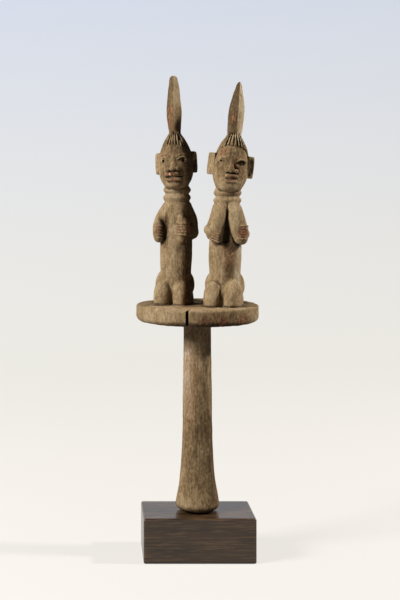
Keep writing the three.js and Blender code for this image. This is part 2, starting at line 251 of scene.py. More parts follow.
# Slab: a box with rounded edges, turned about its own upright and tapered towards its ends. The distance is
# to the box inside the rounding, less the rounding.
def slab(place, halves, rounding, taper, turn):
    def distance(u, v, w):
        u = u - place[0]
        v = v - place[1]
        w = w - place[2]
        c = math.cos(turn * degree)
        s = math.sin(turn * degree)
        narrow = 1 - taper * np.abs(np.clip(w / halves[2], -1, 1)) ** 3
        a = np.abs(u * c + v * s) - halves[0] + rounding
        b = np.abs(v * c - u * s) - halves[1] * narrow + rounding
        e = np.abs(w) - halves[2] + rounding
        outside = np.sqrt(np.maximum(a, 0) ** 2 + np.maximum(b, 0) ** 2 + np.maximum(e, 0) ** 2)
        return outside + np.minimum(np.maximum(np.maximum(a, b), e), 0) - rounding

    return {"corners": [place], "reach": math.hypot(*halves), "distance": distance}


# Loft: an upright form through rows of height, half width, front and back. Its section is a rounded square,
# and each point's distance is how far it lies beyond the skin on the line from the form's middle. What is
# proud is added to the skin, and a skew moves the front and back ridges off the middle.
def loft(rows, power, proud=None, skew=None):
    rows = np.asarray(rows, float)
    heights = np.linspace(rows[0][0], rows[-1][0], 300)
    wide, front, back = (throughRows(rows, k, heights) for k in (1, 2, 3))

    def distance(u, v, w):
        halfWidth = np.interp(w, heights, wide)
        if skew is not None:
            ridge = np.interp(w, [row[0] for row in skew], [row[1] for row in skew])
            halfWidth = np.where(u > ridge, halfWidth - ridge, halfWidth + ridge)
            u = u - ridge
        halfDepth = np.where(v < 0, -np.interp(w, heights, front), np.interp(w, heights, back))
        across = (np.abs(u) + 1e-3) / halfWidth
        deep = np.abs(v) / halfDepth
        size = (across ** power + deep ** power) ** (1 / power)
        away = np.sqrt(u * u + v * v) + 1e-3
        skin = evened(away * (1 - 1 / size))
        skin = np.maximum(skin, np.maximum(heights[0] - w, w - heights[-1]))
        return skin if proud is None else skin - proud(u, v, w)

    corners = [[x, y, z] for x in (-wide.max(), wide.max()) for y in (front.min(), back.max())
               for z in (heights[0], heights[-1])]
    return {"corners": corners, "reach": 1, "distance": distance}


# How softly each form meets the wood round it
blends = {
    "handle": 0.1, "disc": 1.6, "crack": 0.2, "pit": 0.4,
    "leg": 0.8, "hip": 1.8, "foot": 1.2, "betweenLegs": 1.2, "legLine": 2.2, "toe": 0.6, "kneeGroove": 0.8,
    "body": 1.8, "arm": 1.4, "breast": 0.9, "swelling": 2.8, "gap": 0.8, "spine": 3,
    "fist": 1.2, "finger": 0.15,
    "head": 0.5, "hairSlot": 0.3, "crest": 1.2, "ear": 0.5, "earCup": 0.5, "lobe": 0.4,
    "eyeball": 0.7, "lid": 0.6, "brow": 2, "pupil": 0.2,
    "nose": 1.4, "wing": 0.8, "nostril": 0.3, "underNose": 0.5,
    "lips": 0.6, "mouthSlot": 0.5, "chin": 2.4, "scar": 0.4,
}

# Handle: a round grip that flares to its foot. Each row is a height and a radius, from the foot up.
handle = {
    "rows": [(41, 8.5), (41.5, 13), (43, 17.2), (45.2, 19.4), (47.5, 19.8), (52, 19.2), (63.3, 17.1),
             (77, 15.5), (95.6, 14.3), (114, 13.7), (160, 13.2), (192, 12.6), (216, 12.5)],
    "reach": 22,
    "steepest": 3,  # the most that the profile's slope counts for, near the foot
    "facets": 11,  # flats that the knife left along the grip
    "facetDepth": 0.07,
    "facetTwist": 0.0016,  # turn for each mm of height
    "facetFade": (44, 60),  # heights where the flats begin and are full
}
disc = {
    "low": 215,
    "top": 230,
    "radius": 56,
    "topEdge": 2.0,
    "lowerEdge": 5.0,
    "step": 0.9,  # how far the wood left of the crack has sunk
    "stepAngles": (34, 4),  # degrees from the crack where the sinking ends and is full
    "stepRadii": (20, 44),
    "pit": ((-43.8, -4.3, 230), (1.8, 2.6, 1.2)),  # place and radii
}
crack = {
    "angle": -14.5,  # degrees from the front
    "width": 2.3,
    "length": 27,
    "opening": 0.7,  # below 1 it opens quickly on its way out
    "wanderIn": (0.3, 0.4),  # how far it wanders on its way in, and how often
    "wanderUp": (0.15, 0.45),
    "calm": 0.7,  # how much of the wander is lost at the rim
    "room": 3,  # grid kept at its sides
}


# The handle is its radius at each height, so a point's distance is measured square to that profile
def handleForm():
    rows = handle["rows"]
    heights = np.linspace(rows[0][0], rows[-1][0], 600)
    radii = throughRows(rows, 1, heights)
    slopes = np.gradient(radii, heights)

    def distance(u, v, w):
        radius = np.interp(w, heights, radii)
        slope = np.interp(w, heights, slopes)
        angle = np.arctan2(v, u) + handle["facetTwist"] * w
        flats = handle["facetDepth"] * np.cos(handle["facets"] * angle) * ease(w, *handle["facetFade"])
        steepness = np.sqrt(1 + np.minimum(slope * slope, handle["steepest"] ** 2))
        side = (np.sqrt(u * u + v * v) - radius - flats) / steepness
        return np.maximum(side, np.maximum(heights[0] - w, w - heights[-1]))

    reach = handle["reach"]
    return {"corners": [(-reach, -reach, rows[0][0]), (reach, reach, rows[-1][0])], "reach": 1,
            "distance": distance}


# The disc is a flat round with a small radius on its upper edge and a larger one on its lower edge. The wood
# left of the crack has sunk a little.
def discForm():
    def distance(u, v, w):
        angle = np.arctan2(u, -v) / degree - crack["angle"]
        sunk = disc["step"] * ease(-angle, 0, 1) * ease(-angle, *disc["stepAngles"])
        top = disc["top"] - sunk * ease(np.sqrt(u * u + v * v), *disc["stepRadii"])
        upper = w > (disc["low"] + top) / 2
        edge = np.where(upper, disc["topEdge"], disc["lowerEdge"])
        out = np.sqrt(u * u + v * v) - disc["radius"] + edge
        up = np.where(upper, w - top, disc["low"] - w) + edge
        corner = np.sqrt(np.maximum(out, 0) ** 2 + np.maximum(up, 0) ** 2)
        return corner + np.minimum(np.maximum(out, up), 0) - edge

    reach = disc["radius"]
    corners = [(-reach, -reach, disc["low"]), (reach, reach, disc["top"])]
    return {"corners": corners, "reach": 1, "distance": distance}


# The crack is a wedge of air, widest at the rim, that wanders a little on its way in
def crackForm():
    angle = crack["angle"] * degree
    inner = disc["radius"] - crack["length"]
    inWay, inOften = crack["wanderIn"]
    upWay, upOften = crack["wanderUp"]

    def distance(u, v, w):
        along = -v * math.cos(angle) + u * math.sin(angle)
        across = u * math.cos(angle) + v * math.sin(angle)
        inward = np.clip((along - disc["radius"] + crack["length"]) / crack["length"], 0, 1.2)
        wander = inWay * np.sin(along * inOften) + upWay * np.sin(w * upOften + 1)
        wide = crack["width"] / 2 * inward ** crack["opening"]
        return np.maximum(np.abs(across + wander * (1 - crack["calm"] * inward)) - wide, inner - along)

    corners = [(r * math.sin(angle) + side, -r * math.cos(angle), z)
               for r in (disc["radius"] + 1, inner) for side in (-crack["room"], crack["room"])
               for z in (disc["low"] - 1, disc["top"] + 1)]
    return {"corners": corners, "reach": 1, "distance": distance}


joinOn(billetFrame, handleForm(), blends["handle"])
joinOn(billetFrame, discForm(), blends["disc"])
print("handle and disc turned")

# Sections of the body and the head: height above the disc, half width, front, back
body = {
    "power": 2.2,  # 2 is round, and more is squarer
    "rows": [(8, 11, -8, 11), (20, 13.6, -13.2, 13), (32, 14.2, -13.6, 12.6), (46, 14.8, -12.8, 12.2),
             (62, 14.7, -12, 12.6), (76, 14.2, -11.8, 13), (86, 13.6, -11.4, 12.2), (91, 12.9, -10.8, 11.4),
             (94, 11.2, -9.6, 10.4), (96.4, 12.2, -10.4, 11.3), (97.8, 12.7, -10.9, 11.6),
             (99.6, 12, -10.2, 11.1), (101.4, 10.7, -9, 9.9), (103.4, 12, -10, 10.9),
             (105, 12.6, -10.5, 11.2), (106.6, 12.1, -9.8, 10.8), (108.5, 11, -8.7, 10.1),
             (114, 9, -6, 9)],
    "spine": [(0, 14.6, 86, 1.4), (0, 14.2, 60, 1.8), (0, 14, 34, 1.4)],
    "breastFlat": 0.75,
    "fistPower": 2.4,
}
head = {
    "power": 2.15,
    "rows": [(105.4, 5.5, -11, 7), (107.4, 9.4, -14.8, 9.8), (111.5, 12.5, -16.6, 11.4),
             (115, 14.2, -17.2, 13), (119.5, 15.5, -17.3, 14.8), (125, 15.9, -16.9, 16.6),
             (131, 15.4, -16.5, 18), (137, 14.4, -16.3, 18.4), (142, 12.9, -15.6, 17.6),
             (147, 11, -13.8, 16), (151, 8.9, -11.4, 14), (155, 6.4, -8.4, 11.6),
             (158.5, 4.4, -4.8, 8.8)],
}

# Folded legs: a loaf of thigh and shin, a hip, a foot behind, the line between thigh and shin, and four toes
legs = {
    "apart": 8.4,
    "heel": 16,
    "loaf": {"up": 5, "half": 9.5, "tall": 19.5, "power": 2.2, "plan": 2.35},
    "hip": {"back": 6, "up": 17, "sizes": (9.8, 13, 14)},
    "foot": [(8.6, 8, 4.6, 5.6), (8.4, 19, 4.6, 4.8), (8, 30.5, 5.4, 5.4)],
    "between": {"back": 1.6, "up": 4.5, "half": 5.5, "short": 3.6, "tall": 16, "power": 2.4},
    "line": [(18.2, 14, 9, 1.2), (18.8, 4, 10, 1.5), (18.4, -5, 10.5, 0.9)],
    "toes": {"count": 4, "apart": 8, "pitch": 2.6, "cut": [(0, 37, 9, 0.7), (0, 36.4, 3, 0.7)]},
}

# Hair combed up in ridges to the crest: where it begins at the side and the nape, how its flutes fade, and
# the deep slots over the brow
hair = {
    "side": 137.5,
    "nape": 113,
    "napeBend": 0.6,
    "middle": (0, 2.2),
    "soft": 0.35,  # half the height in which the hair rises from the skin
    "fluteBend": 1.5,  # above 1 the flutes are wider than the ridges between them
    "fluteReach": (2, 6),  # from the middle, where the flutes begin and are full
    "calm": 0.6,  # the flutes' share of their depth on the lit side
    "calmAcross": (-10, 2),
    "slot": [(0.65, -8, 156.2, 0.4), (1, -12, 151.6, 0.9), (1.35, -14.7, 147.6, 0.5)],
    "slotRound": 0.011,
}
crest = {
    "deepness": 1.3,
    "place": 2.2,
    "bend": 0.0022,
    "foot": 150,
    "middle": 180,
    "tip": 211,
    "power": 1.25,
    "toneHeights": (156, 162),  # where the flats' tones begin and are full
    "toneAcross": (16, 12),
    "toneEdge": 0.4,  # half the width of the change at the ridge
}
ears = {
    "back": 2.4,
    "thick": 2.0,
    "deep": 5.6,
    "rounding": 0.9,
    "taper": 0.2,
    "cupOut": 2.9,
    "cupUp": 0.6,
    "cupSizes": (0.9, 3.3, 7.2),
    "lobe": (1.6, -2.2, -6.4),
    "lobeSizes": (1.3, 1.8, 2.2),
}

# Eyes, nose and mouth, each from its own height. A row is out from the middle, front, up and radius. In the
# mouth's rows the first two are a share of its width and what is left off the width.
eyes = {
    "lean": 26,
    "socketUp": 0.3,
    "socket": (5.6, 3.4),
    "ball": (4.5, 3, 2.9),
    "lid": [(4.2, -16, 1, 0.6), (7, -15.2, 3, 1), (10.4, -13.2, 3.1, 1), (13.2, -9.9, 1.2, 0.6)],
    "brow": [(3.6, -16, 3.8, 0.7), (7.4, -14.8, 5.6, 1), (11, -12.3, 5.4, 1)],
    "pupilFront": 3,
    "pupilDeep": 2.2,
}
nose = {
    "bridge": [(0, -14.6, 12, 1.6), (0, -16.2, 6, 2), (0, -17.8, 0.6, 2.9)],
    "wing": (3.8, -16.9, 0),
    "wingSizes": (2.5, 2.6, 2.2),
    "nostril": (2.8, -19, -2.2),
    "nostrilSizes": (1.3, 1.8, 1),
    "under": [(-5.2, -17.2, -2.1, 0.4), (0, -19.4, -2.4, 0.5), (5.2, -17.2, -2.1, 0.4)],
}
mouth = {
    "upperLip": [(-1, 0, -14.2, 1.8, 0.9), (-0.5, 0, -17.2, 2.7, 1.8), (0, 0, -18.1, 2.6, 1.95),
                 (0.5, 0, -17.2, 2.7, 1.8), (1, 0, -14.2, 1.8, 0.9)],
    "lowerLip": [(-1, 0.8, -14.8, -1.8, 0.9), (-0.5, 0, -17, -2.6, 1.6), (0.5, 0, -17, -2.6, 1.6),
                 (1, 0.8, -14.8, -1.8, 0.9)],
    "between": [(-1, 1, -13.8, 0, 1.7), (0, 0, -16.5, 0, 2), (1, 1, -13.8, 0, 1.7)],
    "slot": [(-1, 0, -15, 0, 0.4), (0, 0, -18.5, -0.1, 0.5), (1, 0, -15, 0, 0.4)],
    "chin": (0, -14.2, -7.2),
    "chinSizes": (5.6, 3.4, 3),
}

# The two figures. Each part of one has its own frame: x to the right as seen, y to the back, and heights
# from the disc. Arms, breasts, grooves, gaps, scars and swellings are rows of x, y, height and radius. A
# crest's rows are a height and a half width, and its ridge's a height and how far it is off the middle.
figures = {
    "left": {
        "x": -19.4, "y": 7, "lean": 1.3, "drop": 0, "legShift": -1.7, "kneeReach": 19,
        "legTurn": -14, "chestTurn": -14, "headTurn": -10, "headRoll": -2.3, "faceTurn": -3.5,
        "hairline": 146.6, "flutes": 36, "fluteDepth": 1.5, "hairStep": 0.7,
        "slots": [-4.2, -0.9, 2.2, 5], "crestTones": (-0.3, 0.1),
        "ridge": [(150, 1.6), (170, 0.3), (211, 0)],
        "crest": [(150, 4.9), (158.4, 5.6), (166, 6.4), (175, 7.1), (184.6, 6.6), (194, 5.85), (203.3, 4.7),
                  (208, 3.9), (210.8, 3.0), (212.2, 1.4)],
        "ears": [
            {"side": -1, "place": 15.4, "turn": 31, "hollow": 0.5, "high": 130, "tall": 9.9},
            {"side": 1, "place": 15.3, "turn": 31, "hollow": 1.5, "high": 130.4, "tall": 9.8},
        ],
        "arms": [
            [(-9, 1, 89, 4.8), (-13.6, -1.5, 80, 5.6), (-15.8, -4, 70, 5.2), (-15.6, -6.5, 63, 4.6)],
            [(-12, 3, 84, 5), (-14.6, 4, 74, 5.6), (-14.6, 3, 65, 5.4)],
            [(8.5, 2, 90, 5), (12.8, 2.6, 78, 6), (14.6, 1.5, 65.5, 6)],
            [(14.4, 3, 67, 5.6), (13.4, -5, 66.8, 5.4), (9.8, -11.2, 69.5, 4.6)],
        ],
        "hands": [
            {"place": (-15.6, -9.4, 68.6), "sizes": (4.7, 4.8, 10), "turn": -18, "high": (72.4, 61.4),
             "fingers": 5, "slope": 0.3, "thick": 0.47,
             "across": [(-14.6, -12.9), (-12.6, -12.4), (-11.2, -10)]},
            {"place": (7.6, -10.4, 69.6), "sizes": (6.9, 4.6, 10.6), "turn": 6, "high": (75, 64.8),
             "fingers": 5, "slope": 0.3, "thick": 0.5,
             "across": [(2, -12.4), (6.8, -14.9), (11.6, -14.2)]},
        ],
        "swellings": [(-14.4, -9.6, 60.2, 3.6), (7.8, -10.6, 60, 3.9), (6.6, -11.4, 79.6, 2.4)],
        "kneeGrooves": [
            [(-0.8, 4.2, -2, 2.8), (-0.6, 4.4, 6, 2.3), (-0.4, 5, 12, 1.6), (-0.8, 6.2, 17, 0.8)],
            [(-0.6, 3, 18, 0.7), (4, 5.2, 22.8, 0.9), (10.5, 7.5, 24.6, 0.7)],
            [(-0.8, 3, 18, 0.6), (-5.5, 5.6, 23, 0.6)],
        ],
        "breasts": [],
        "eyes": [
            {"place": (-9.2, -11.4, 131.8), "socket": (-17.1, 2.5, 2.6), "pupil": (0, 1.3),
             "lid": 0.85, "brow": 0.5},
            {"place": (9.2, -11.4, 131.8), "socket": (-17.1, 2.7, 2.4), "pupil": (0, 1.4),
             "lid": 0.85, "brow": 0.5},
        ],
        "nose": 124.2,
        "mouth": (117, 8, 1),
        "scars": [],
        "gaps": [
            [(-8.4, -12.6, 83, 0.9), (-8.6, -11, 75, 2.3), (-8.8, -10.4, 64, 2.5), (-9.6, -10.8, 57, 1.4)],
        ],
    },
    "right": {
        "x": 24.3, "y": -7, "lean": 2.7, "drop": 2.6, "legShift": -0.5, "kneeReach": 25,
        "legTurn": -13, "chestTurn": 0, "headTurn": -6, "headRoll": 6, "faceTurn": 2,
        "hairline": 148.4, "flutes": 30, "fluteDepth": 2, "hairStep": 1.6,
        "slots": [-4.8, 0.8, 3.4, 6], "crestTones": (-0.38, 0.2),
        "ridge": [(152, 3.0), (165, 1.6), (176, 1.3), (195, 1.0), (207.6, 0.2)],
        "crest": [(152, 5.8), (159, 6.5), (167, 7.1), (176, 7.3), (185.3, 6.7), (194.5, 5.0), (201, 3.5),
                  (206, 2.2), (208, 1.0)],
        "ears": [
            {"side": -1, "place": 17.0, "turn": 34, "hollow": 0.8, "high": 130.4, "tall": 10},
            {"side": 1, "place": 16.6, "turn": 34, "hollow": 2.0, "high": 130, "tall": 10},
        ],
        "arms": [
            [(-8, 3, 91, 5), (-10.4, 3, 79, 5.4), (-13.4, 1, 69.5, 5.4)],
            [(-13.6, 3, 70, 5.2), (-15.4, -4, 70, 5.3), (-13.4, -10.5, 69, 4.6)],
            [(8, 3, 91, 5), (12.4, 3, 79, 5.6), (15.2, 1, 66, 5.8)],
            [(15.2, 3, 66, 5.6), (15.8, -4, 66, 5.4), (14.4, -10, 67.5, 4.8)],
        ],
        "hands": [
            {"place": (-14, -9.8, 67.6), "sizes": (5.2, 5, 6.8), "turn": -20, "high": (69.4, 62.4),
             "fingers": 4, "slope": 1.5, "thick": 0.42,
             "across": [(-16, -12.2), (-12.6, -15.2), (-9, -16.6)]},
            {"place": (13.8, -11.2, 67.8), "sizes": (4.9, 4.9, 8), "turn": 24, "high": (74.2, 62.4),
             "fingers": 6, "slope": 0.3, "thick": 0.5,
             "across": [(9.6, -16.6), (13.6, -16.9), (17.4, -13.2)]},
        ],
        "swellings": [(14.6, -10, 60.4, 3.4)],
        "kneeGrooves": [
            [(-2, 3, -3, 3.6), (0, 4.6, 3, 1.9), (0.9, 4.8, 9, 1.4), (0.2, 5, 14, 1.1),
             (-2.4, 5, 18.5, 0.9), (-5.5, 5.6, 21.5, 0.6)],
            [(0.8, 3, 16.5, 0.6), (5.5, 6, 22.4, 0.8), (12, 9, 24.6, 0.6)],
            [(10, -0.6, -1.5, 2.2), (13, -0.4, 0, 2)],
        ],
        "breasts": [
            [(-4.8, -7, 95, 4.6), (-7.2, -11, 84, 6), (-9, -12.4, 73, 6.4), (-9, -12.6, 62.4, 4.8)],
            [(4.2, -7, 95, 4.6), (6.4, -11, 84, 6.8), (9, -12.6, 73, 7.2), (12, -12.4, 62.6, 6)],
        ],
        "eyes": [
            {"place": (-9.8, -11.2, 133.4), "socket": (-16.9, 3, 1.4), "pupil": (-0.2, 1),
             "lid": 0.85, "brow": 1},
            {"place": (8.6, -10.2, 132.4), "socket": (-15.3, 3, 0.8), "pupil": (1.8, 1.3),
             "lid": 0.8, "brow": 0},
        ],
        "nose": 125,
        "mouth": (117.9, 6.6, 0.86),
        "scars": [
            [(1.2, -16.8, 131.5, 0.4), (3.4, -16.8, 127, 0.9), (5.8, -16, 122.6, 0.7)],
            [(3.9, -16.4, 129.4, 0.4), (5.4, -16, 127, 0.7), (6.8, -15.4, 124.6, 0.4)],
            [(12.3, -11.5, 123, 0.4), (12.5, -11.3, 121, 0.8), (12.3, -11.2, 118.8, 0.4)],
        ],
        "gaps": [
            [(-1.2, -11.6, 93, 0.7), (-1.5, -12, 82, 1.4), (-1.6, -12, 71, 2.5), (-1, -11.8, 61, 3.2)],
        ],
    },
}


# Each figure stands on the disc, and its head and face turn about the neck, which has leant and sunk
def framesOf(figure):
    foot = (figure["x"], figure["y"], disc["top"])
    neck = (figure["x"] + figure["lean"], figure["y"], disc["top"] + neckHeight - figure["drop"])
    return {
        "legs": partFrame(foot, turn=figure["legTurn"], shift=figure["legShift"]),
        "chest": partFrame(foot, turn=figure["chestTurn"], lean=figure["lean"], drop=figure["drop"]),
        "head": partFrame(neck, turn=figure["headTurn"], roll=figure["headRoll"], pivot=neckHeight),
        "face": partFrame(neck, turn=figure["headTurn"] + figure["faceTurn"], roll=figure["headRoll"],
                          pivot=neckHeight),
    }


# A limb's rows put on the side asked for, raised to a height and made thicker or thinner
def onSide(side, rows, high=0, thick=1):
    return limb([(side * x, y, high + z, thick * radius) for x, y, z, radius in rows])


# Folded legs: thigh and shin lie together as one loaf from knee to heel, with a line cut between them, a hip
# above, and a foot with its sole turned up behind. The groove between the knees forks at its top, along the
# upper edge of each thigh.
def carveLegs(part, figure):
    reach = figure["kneeReach"]
    middle = (legs["heel"] - reach) / 2
    halfLength = (legs["heel"] + reach) / 2
    loaf = legs["loaf"]
    hip = legs["hip"]
    between = legs["between"]
    toes = legs["toes"]
    for side in (-1, 1):
        out = side * legs["apart"]
        folded = lump((out, middle, loaf["up"]), (loaf["half"], halfLength, loaf["tall"]),
                      power=loaf["power"], plan=loaf["plan"])
        joinOn(part, folded, blends["leg"])
        joinOn(part, lump((out, hip["back"], hip["up"]), hip["sizes"]), blends["hip"])
        joinOn(part, onSide(side, legs["foot"]), blends["foot"])
    filling = lump((0, middle + between["back"], between["up"]),
                   (between["half"], halfLength - between["short"], between["tall"]), power=between["power"])
    joinOn(part, filling, blends["betweenLegs"])
    for side in (-1, 1):
        carveAway(part, onSide(side, legs["line"]), blends["legLine"])
        for toe in range(toes["count"]):
            across = side * toes["apart"] + (toe - (toes["count"] - 1) / 2) * toes["pitch"]
            cut = [(across + x, y, z, radius) for x, y, z, radius in toes["cut"]]
            carveAway(part, limb(cut, 2), blends["toe"])
    for points in figure["kneeGrooves"]:
        groove = limb([(x, y - reach, z, radius) for x, y, z, radius in points])
        carveAway(part, groove, blends["kneeGroove"])


# Closed hand: a rounded fist with its fingers laid across it side by side, so that grooves stay between them
def carveHand(part, hand):
    joinOn(part, lump(hand["place"], hand["sizes"], hand["turn"], body["fistPower"]), blends["fist"])
    count = hand["fingers"]
    high, low = hand["high"]
    pitch = (high - low) / (count - 1)
    thick = pitch * hand["thick"]
    for i in range(count):
        z = high - i * pitch
        across = [(x, y, z - hand["slope"] * k, thick) for k, (x, y) in enumerate(hand["across"])]
        joinOn(part, limb(across), blends["finger"])


# Body with its neck rings, arms, breasts, hands, the swellings that back them, and the gaps between them
def carveBody(part, figure):
    joinOn(part, loft(body["rows"], body["power"]), blends["body"])
    for points in figure["arms"]:
        joinOn(part, limb(points), blends["arm"])
    for points in figure["breasts"]:
        joinOn(part, limb(points, flat=body["breastFlat"]), blends["breast"])
    for x, y, z, radius in figure["swellings"]:
        joinOn(part, lump((x, y, z), (radius, radius, radius)), blends["swelling"])
    for points in figure["gaps"]:
        carveAway(part, limb(points), blends["gap"])
    for hand in figure["hands"]:
        carveHand(part, hand)
    carveAway(part, limb(body["spine"]), blends["spine"])


# Head with the hair standing proud of the brow. The hairline drops from the brow to the nape, and the hair's
# height is a step less the flutes, which run up to the crest as waves round the head.
def carveHead(part, figure):
    middleX, middleY = hair["middle"]

    def proud(u, v, w):
        angle = np.arctan2(u - middleX, middleY - v)
        facing = np.cos(angle)
        front = hair["side"] + (figure["hairline"] - hair["side"]) * np.clip(facing, 0, 1)
        line = front + (hair["nape"] - hair["side"]) * np.clip(-facing, 0, 1) ** hair["napeBend"]
        inHair = ease(w, line - hair["soft"], line + hair["soft"])
        away = np.hypot(u - middleX, v - middleY)
        flute = np.abs(np.sin(angle * figure["flutes"] / 2)) ** hair["fluteBend"]
        calm = hair["calm"] + (1 - hair["calm"]) * ease(u, *hair["calmAcross"])
        depth = figure["fluteDepth"] * ease(away, *hair["fluteReach"]) * calm
        return inHair * (figure["hairStep"] - depth * (1 - flute))

    joinOn(part, loft(head["rows"], head["power"], proud), blends["head"])
    for side in figure["slots"]:
        deep = 1 - hair["slotRound"] * side * side
        slot = limb([(side * x, y * deep, z, radius) for x, y, z, radius in hair["slot"]])
        carveAway(part, slot, blends["hairSlot"])


# Crest: a blade with a sharp ridge before and behind, bending back by the square of its height
def carveCrest(part, figure):
    rows = []
    for z, width in figure["crest"]:
        rows.append((z, width, -width * crest["deepness"], width * crest["deepness"]))
    blade = loft(rows, crest["power"], skew=figure["ridge"])
    upright = blade["distance"]

    def distance(u, v, w):
        back = crest["place"] + crest["bend"] * (w - crest["foot"]) ** 2
        return upright(u, v - back, w)

    deepest = crest["place"] + crest["bend"] * (crest["tip"] - crest["foot"]) ** 2 + 2
    blade["corners"] = blade["corners"] + [[0, deepest, crest["middle"]]]
    blade["distance"] = distance
    joinOn(part, blade, blends["crest"])


# Ears: slabs that stand out from the head towards the back, hollowed on the outer face
def carveEars(part, figure):
    for ear in figure["ears"]:
        side = ear["side"]
        turn = -side * ear["turn"]
        place = (side * ear["place"], ears["back"], ear["high"])
        x, y, high = place
        halves = (ears["thick"], ears["deep"], ear["tall"])
        joinOn(part, slab(place, halves, ears["rounding"], ears["taper"], turn), blends["ear"])
        c = math.cos(turn * degree)
        s = math.sin(turn * degree)
        outward = side * (ears["cupOut"] - ear["hollow"] / 2)
        cup = (x + outward * c, y + outward * s, high + ears["cupUp"])
        thin, deep, tall = ears["cupSizes"]
        carveAway(part, lump(cup, (thin + ear["hollow"] / 2, deep, tall), turn), blends["earCup"])
        lobeOut, lobeBack, lobeUp = ears["lobe"]
        lobe = (x + side * lobeOut * c, y + lobeBack, high + lobeUp)
        joinOn(part, lump(lobe, ears["lobeSizes"], turn), blends["lobe"])


# Each eye is a shallow hollow with a low eyeball, one thin lid and a soft brow above it, and a drilled pupil
def carveEye(part, eye):
    u, v, high = eye["place"]
    side = math.copysign(1, u)
    lean = side * eyes["lean"]
    front, deep, blend = eye["socket"]
    wide, tall = eyes["socket"]
    carveAway(part, lump((u, front, high + eyes["socketUp"]), (wide, deep, tall), lean), blend)
    joinOn(part, lump((u, v, high), eyes["ball"], lean), blends["eyeball"])
    joinOn(part, onSide(side, eyes["lid"], high, eye["lid"]), blends["lid"])
    if eye["brow"]:
        joinOn(part, onSide(side, eyes["brow"], high, eye["brow"]), blends["brow"])
    shift, radius = eye["pupil"]
    hole = lump((u + shift, v - eyes["pupilFront"], high), (radius, eyes["pupilDeep"], radius))
    carveAway(part, hole, blends["pupil"])


# Nose with round wings and an undercut
def carveNose(part, high):
    joinOn(part, onSide(1, nose["bridge"], high), blends["nose"])
    for side in (-1, 1):
        out, front, up = nose["wing"]
        joinOn(part, lump((side * out, front, high + up), nose["wingSizes"]), blends["wing"])
        out, front, up = nose["nostril"]
        carveAway(part, lump((side * out, front, high + up), nose["nostrilSizes"]), blends["nostril"])
    carveAway(part, onSide(1, nose["under"], high), blends["underNose"])


# Thick lips with a soft slot between them, and a small chin. A row's place across is its share of the width.
def carveMouth(part, high, wide, full):
    def across(rows, thick):
        return limb([(share * (wide - less), y, high + z, thick * radius)
                     for share, less, y, z, radius in rows])

    joinOn(part, across(mouth["upperLip"], full), blends["lips"])
    joinOn(part, across(mouth["lowerLip"], full), blends["lips"])
    joinOn(part, across(mouth["between"], 1), blends["lips"])
    carveAway(part, across(mouth["slot"], 1), blends["mouthSlot"])
    x, y, up = mouth["chin"]
    joinOn(part, lump((x, y, high + up), mouth["chinSizes"]), blends["chin"])


# The eyes, the nose and the mouth, and the scars cut across them
def carveFace(part, figure):
    for eye in figure["eyes"]:
        carveEye(part, eye)
    carveNose(part, figure["nose"])
    carveMouth(part, *figure["mouth"])
    for points in figure["scars"]:
        carveAway(part, limb(points), blends["scar"])


for name, figure in figures.items():
    parts = framesOf(figure)
    carveLegs(parts["legs"], figure)
    carveBody(parts["chest"], figure)
    carveHead(parts["head"], figure)
    carveCrest(parts["head"], figure)
    carveEars(parts["head"], figure)
    carveFace(parts["face"], figure)
    print("figure carved:", name)

carveAway(billetFrame, crackForm(), blends["crack"])
carveAway(billetFrame, lump(*disc["pit"]), blends["pit"])


# The skin is where the distance is zero, and it is meshed there in quads, with its corners in mm
def skinOf(distances):
    grid = openvdb.FloatGrid(billet["air"])
    grid.copyFromArray(np.clip(distances, -billet["air"], billet["air"]).astype(np.float32))
    corners, quads = grid.convertToQuads(0.0)
    return corners * voxel + gridLow, quads


places, quads = skinOf(wood)
print("skin meshed:", len(places), "corners")


# Corners are in mm, and faces are rows of corner numbers, all with as many corners
def meshOf(name, corners, faces):
    mesh = bpy.data.meshes.new(name)
    mesh.vertices.add(len(corners))
    mesh.vertices.foreach_set("co", (corners * mm).astype(np.float32).ravel())
    mesh.loops.add(faces.size)
    mesh.loops.foreach_set("vertex_index", faces.astype(np.int32).ravel())
    mesh.polygons.add(len(faces))
    mesh.polygons.foreach_set("loop_start", np.arange(0, faces.size, faces.shape[1], dtype=np.int32))
    mesh.update(calc_edges=True)
    mesh.validate()
    return mesh


def pieceOf(name, mesh):
    piece = bpy.data.objects.new(name, mesh)
    bpy.context.collection.objects.link(piece)
    return piece


# Puts the mesh as its modifiers leave it in the piece's place
def applied(piece):
    graph = bpy.context.evaluated_depsgraph_get()
    finished = bpy.data.meshes.new_from_object(piece.evaluated_get(graph))
    piece.modifiers.clear()
    piece.data = finished


# The staff's mesh is thinned most where the wood is plain
staff = pieceOf("carved_staff_wood", meshOf("carved_staff_wood", places, quads))
thinning = staff.modifiers.new("thinning", "DECIMATE")
thinning.ratio = billet["triangles"] / (2 * len(quads))
applied(staff)
staff.data.shade_smooth()
print("thinned to", len(staff.data.polygons), "faces")


# Corners in mm, one row each
def cornersOf(mesh):
    flat = np.empty(len(mesh.vertices) * 3, np.float32)
    mesh.vertices.foreach_get("co", flat)
    return flat.reshape(-1, 3).astype(float) / mm


def normalsOf(mesh):
    flat = np.empty(len(mesh.vertices) * 3, np.float32)
    mesh.vertex_normals.foreach_get("vector", flat)
    return flat.reshape(-1, 3).astype(float)


# The carved distances at any places, read between the grid's points
def woodAt(points):
    at = np.clip((points - gridLow) / voxel, 0, gridCount - 1.001)
    i = np.floor(at).astype(int)
    part = at - i
    total = 0
    for corner in np.ndindex(2, 2, 2):
        share = np.prod(np.where(corner, part, 1 - part), axis=1)
        total = total + share * wood[i[:, 0] + corner[0], i[:, 1] + corner[1], i[:, 2] + corner[2]]
    return total


